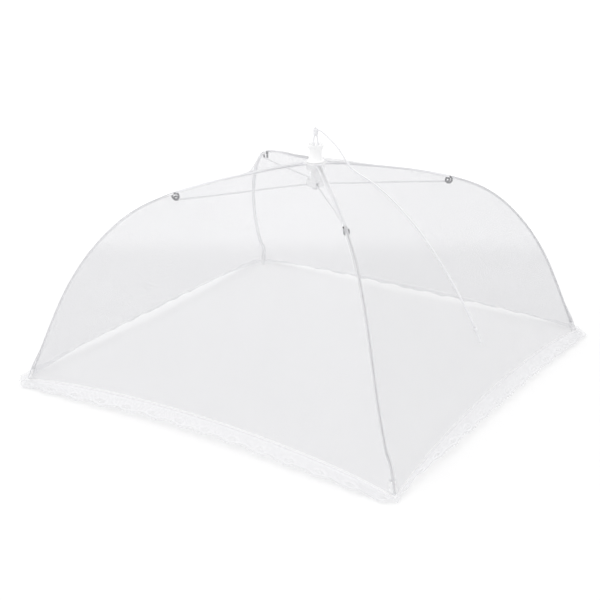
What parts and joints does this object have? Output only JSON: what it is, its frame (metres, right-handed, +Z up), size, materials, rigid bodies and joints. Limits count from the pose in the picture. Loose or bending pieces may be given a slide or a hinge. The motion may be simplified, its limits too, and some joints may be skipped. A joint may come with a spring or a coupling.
{
  "type": "folding food cover",
  "caption": "Folding mesh food cover: bowed wire ribs on a square base under a sheer white net with a lace hem, a flared top tube, and a cord-drawn runner with struts.",
  "frame": {"origin": "on the table, under the middle of the open cover", "axes": "+Z up; the sides of the base square lie along X and Y and the ribs on its diagonals; +X points to the panel over which the cord's tail lies"},
  "size_m": [0.434, 0.434, 0.2363],
  "materials": {
    "steel_wire": "drawn spring wire",
    "white_plastic": "moulded, slightly translucent white",
    "net": "sheer fine-mesh net",
    "tape": "narrow woven binding tape",
    "lace": "openwork lace",
    "cord": "thin twisted cord"
  },
  "bodies": {
    "crown": {"crown_hub": "white_plastic", "crown_ring_wire": "steel_wire", "crown_patch": "tape", "top_tube": "white_plastic", "cord_strand_left": "cord", "cord_strand_right": "cord", "cord_top_knot": "cord"},
    "tail": {"cord_tail": "cord", "cord_end_knot": "cord", "cord_loose_end": "cord"},
    "runner": {"runner": "white_plastic", "runner_ring_wire": "steel_wire", "runner_knot": "cord"},
    "rib_front": {"rib_front": "steel_wire", "tip_cap_front": "white_plastic", "binding_front": "tape"},
    "rib_right": {"rib_right": "steel_wire", "tip_cap_right": "white_plastic", "binding_right": "tape"},
    "rib_back": {"rib_back": "steel_wire", "tip_cap_back": "white_plastic", "binding_back": "tape"},
    "rib_left": {"rib_left": "steel_wire", "tip_cap_left": "white_plastic", "binding_left": "tape"},
    "strut_front": {"strut_front": "steel_wire"},
    "strut_right": {"strut_right": "steel_wire"},
    "strut_back": {"strut_back": "steel_wire"},
    "strut_left": {"strut_left": "steel_wire"},
    "half_front_to_right": {"net_front_to_right": "net", "hem_front_to_right": "tape", "lace_front_to_right": "lace"},
    "half_front_to_left": {"net_front_to_left": "net", "hem_front_to_left": "tape", "lace_front_to_left": "lace"},
    "half_right_to_back": {"net_right_to_back": "net", "hem_right_to_back": "tape", "lace_right_to_back": "lace"},
    "half_right_to_front": {"net_right_to_front": "net", "hem_right_to_front": "tape", "lace_right_to_front": "lace"},
    "half_back_to_left": {"net_back_to_left": "net", "hem_back_to_left": "tape", "lace_back_to_left": "lace"},
    "half_back_to_right": {"net_back_to_right": "net", "hem_back_to_right": "tape", "lace_back_to_right": "lace"},
    "half_left_to_front": {"net_left_to_front": "net", "hem_left_to_front": "tape", "lace_left_to_front": "lace"},
    "half_left_to_back": {"net_left_to_back": "net", "hem_left_to_back": "tape", "lace_left_to_back": "lace"}
  },
  "joints": [
    {"name": "rib_front_fold", "type": "hinge", "parent": "crown", "child": "rib_front", "pos_m": [0.00509, -0.00509, 0.199], "axis": [0.7071, 0.7071, 0], "range_deg": [0, 52]},
    {"name": "rib_right_fold", "type": "hinge", "parent": "crown", "child": "rib_right", "pos_m": [0.00509, 0.00509, 0.199], "axis": [-0.7071, 0.7071, 0], "range_deg": [0, 52]},
    {"name": "rib_back_fold", "type": "hinge", "parent": "crown", "child": "rib_back", "pos_m": [-0.00509, 0.00509, 0.199], "axis": [-0.7071, -0.7071, 0], "range_deg": [0, 52]},
    {"name": "rib_left_fold", "type": "hinge", "parent": "crown", "child": "rib_left", "pos_m": [-0.00509, -0.00509, 0.199], "axis": [0.7071, -0.7071, 0], "range_deg": [0, 52]},
    {"name": "runner_slide", "type": "slide", "parent": "crown", "child": "runner", "axis": [0, 0, 1], "range_m": [-0.2101, 0], "deforming": ["cord_strand_left", "cord_strand_right"]},
    {"name": "tail_swing", "type": "hinge", "parent": "crown", "child": "tail", "pos_m": [0, 0, 0.2325], "axis": [0, 1, 0], "range_deg": [0, 15.6]},
    {"name": "strut_front_pivot", "type": "hinge", "parent": "runner", "child": "strut_front", "pos_m": [0.00509, -0.00509, 0.183], "axis": [0.7071, 0.7071, 0], "range_deg": [-64.6, 0]},
    {"name": "strut_right_pivot", "type": "hinge", "parent": "runner", "child": "strut_right", "pos_m": [0.00509, 0.00509, 0.183], "axis": [-0.7071, 0.7071, 0], "range_deg": [-64.6, 0]},
    {"name": "strut_back_pivot", "type": "hinge", "parent": "runner", "child": "strut_back", "pos_m": [-0.00509, 0.00509, 0.183], "axis": [-0.7071, -0.7071, 0], "range_deg": [-64.6, 0]},
    {"name": "strut_left_pivot", "type": "hinge", "parent": "runner", "child": "strut_left", "pos_m": [-0.00509, -0.00509, 0.183], "axis": [0.7071, -0.7071, 0], "range_deg": [-64.6, 0]},
    {"name": "pleat_front_to_right", "type": "hinge", "parent": "rib_front", "child": "half_front_to_right", "pos_m": [0.00509, -0.00509, 0.199], "axis": [0.5757, -0.5757, -0.5806], "range_deg": [0, 71.6], "deforming": ["net_front_to_right", "hem_front_to_right", "lace_front_to_right"]},
    {"name": "pleat_front_to_left", "type": "hinge", "parent": "rib_front", "child": "half_front_to_left", "pos_m": [0.00509, -0.00509, 0.199], "axis": [0.5757, -0.5757, -0.5806], "range_deg": [-71.6, 0], "deforming": ["net_front_to_left", "hem_front_to_left", "lace_front_to_left"]},
    {"name": "pleat_right_to_back", "type": "hinge", "parent": "rib_right", "child": "half_right_to_back", "pos_m": [0.00509, 0.00509, 0.199], "axis": [0.5757, 0.5757, -0.5806], "range_deg": [0, 71.6], "deforming": ["net_right_to_back", "hem_right_to_back", "lace_right_to_back"]},
    {"name": "pleat_right_to_front", "type": "hinge", "parent": "rib_right", "child": "half_right_to_front", "pos_m": [0.00509, 0.00509, 0.199], "axis": [0.5757, 0.5757, -0.5806], "range_deg": [-71.6, 0], "deforming": ["net_right_to_front", "hem_right_to_front", "lace_right_to_front"]},
    {"name": "pleat_back_to_left", "type": "hinge", "parent": "rib_back", "child": "half_back_to_left", "pos_m": [-0.00509, 0.00509, 0.199], "axis": [-0.5757, 0.5757, -0.5806], "range_deg": [0, 71.6], "deforming": ["net_back_to_left", "hem_back_to_left", "lace_back_to_left"]},
    {"name": "pleat_back_to_right", "type": "hinge", "parent": "rib_back", "child": "half_back_to_right", "pos_m": [-0.00509, 0.00509, 0.199], "axis": [-0.5757, 0.5757, -0.5806], "range_deg": [-71.6, 0], "deforming": ["net_back_to_right", "hem_back_to_right", "lace_back_to_right"]},
    {"name": "pleat_left_to_front", "type": "hinge", "parent": "rib_left", "child": "half_left_to_front", "pos_m": [-0.00509, -0.00509, 0.199], "axis": [-0.5757, -0.5757, -0.5806], "range_deg": [0, 71.6], "deforming": ["net_left_to_front", "hem_left_to_front", "lace_left_to_front"]},
    {"name": "pleat_left_to_back", "type": "hinge", "parent": "rib_left", "child": "half_left_to_back", "pos_m": [-0.00509, -0.00509, 0.199], "axis": [-0.5757, -0.5757, -0.5806], "range_deg": [-71.6, 0], "deforming": ["net_left_to_back", "hem_left_to_back", "lace_left_to_back"]}
  ],
  "couplings": [
    {"joint": "rib_right_fold", "follows": "rib_front_fold", "ratio": 1},
    {"joint": "rib_back_fold", "follows": "rib_front_fold", "ratio": 1},
    {"joint": "rib_left_fold", "follows": "rib_front_fold", "ratio": 1},
    {"joint": "runner_slide", "follows": "rib_front_fold", "m_per_rad": -0.23128},
    {"joint": "tail_swing", "follows": "rib_front_fold", "ratio": 0.298},
    {"joint": "strut_front_pivot", "follows": "rib_front_fold", "ratio": -1.2394},
    {"joint": "strut_right_pivot", "follows": "rib_front_fold", "ratio": -1.2394},
    {"joint": "strut_back_pivot", "follows": "rib_front_fold", "ratio": -1.2394},
    {"joint": "strut_left_pivot", "follows": "rib_front_fold", "ratio": -1.2394},
    {"joint": "pleat_front_to_right", "follows": "rib_front_fold", "ratio": 1.375},
    {"joint": "pleat_front_to_left", "follows": "rib_front_fold", "ratio": -1.375},
    {"joint": "pleat_right_to_back", "follows": "rib_front_fold", "ratio": 1.375},
    {"joint": "pleat_right_to_front", "follows": "rib_front_fold", "ratio": -1.375},
    {"joint": "pleat_back_to_left", "follows": "rib_front_fold", "ratio": 1.375},
    {"joint": "pleat_back_to_right", "follows": "rib_front_fold", "ratio": -1.375},
    {"joint": "pleat_left_to_front", "follows": "rib_front_fold", "ratio": 1.375},
    {"joint": "pleat_left_to_back", "follows": "rib_front_fold", "ratio": -1.375}
  ]
}
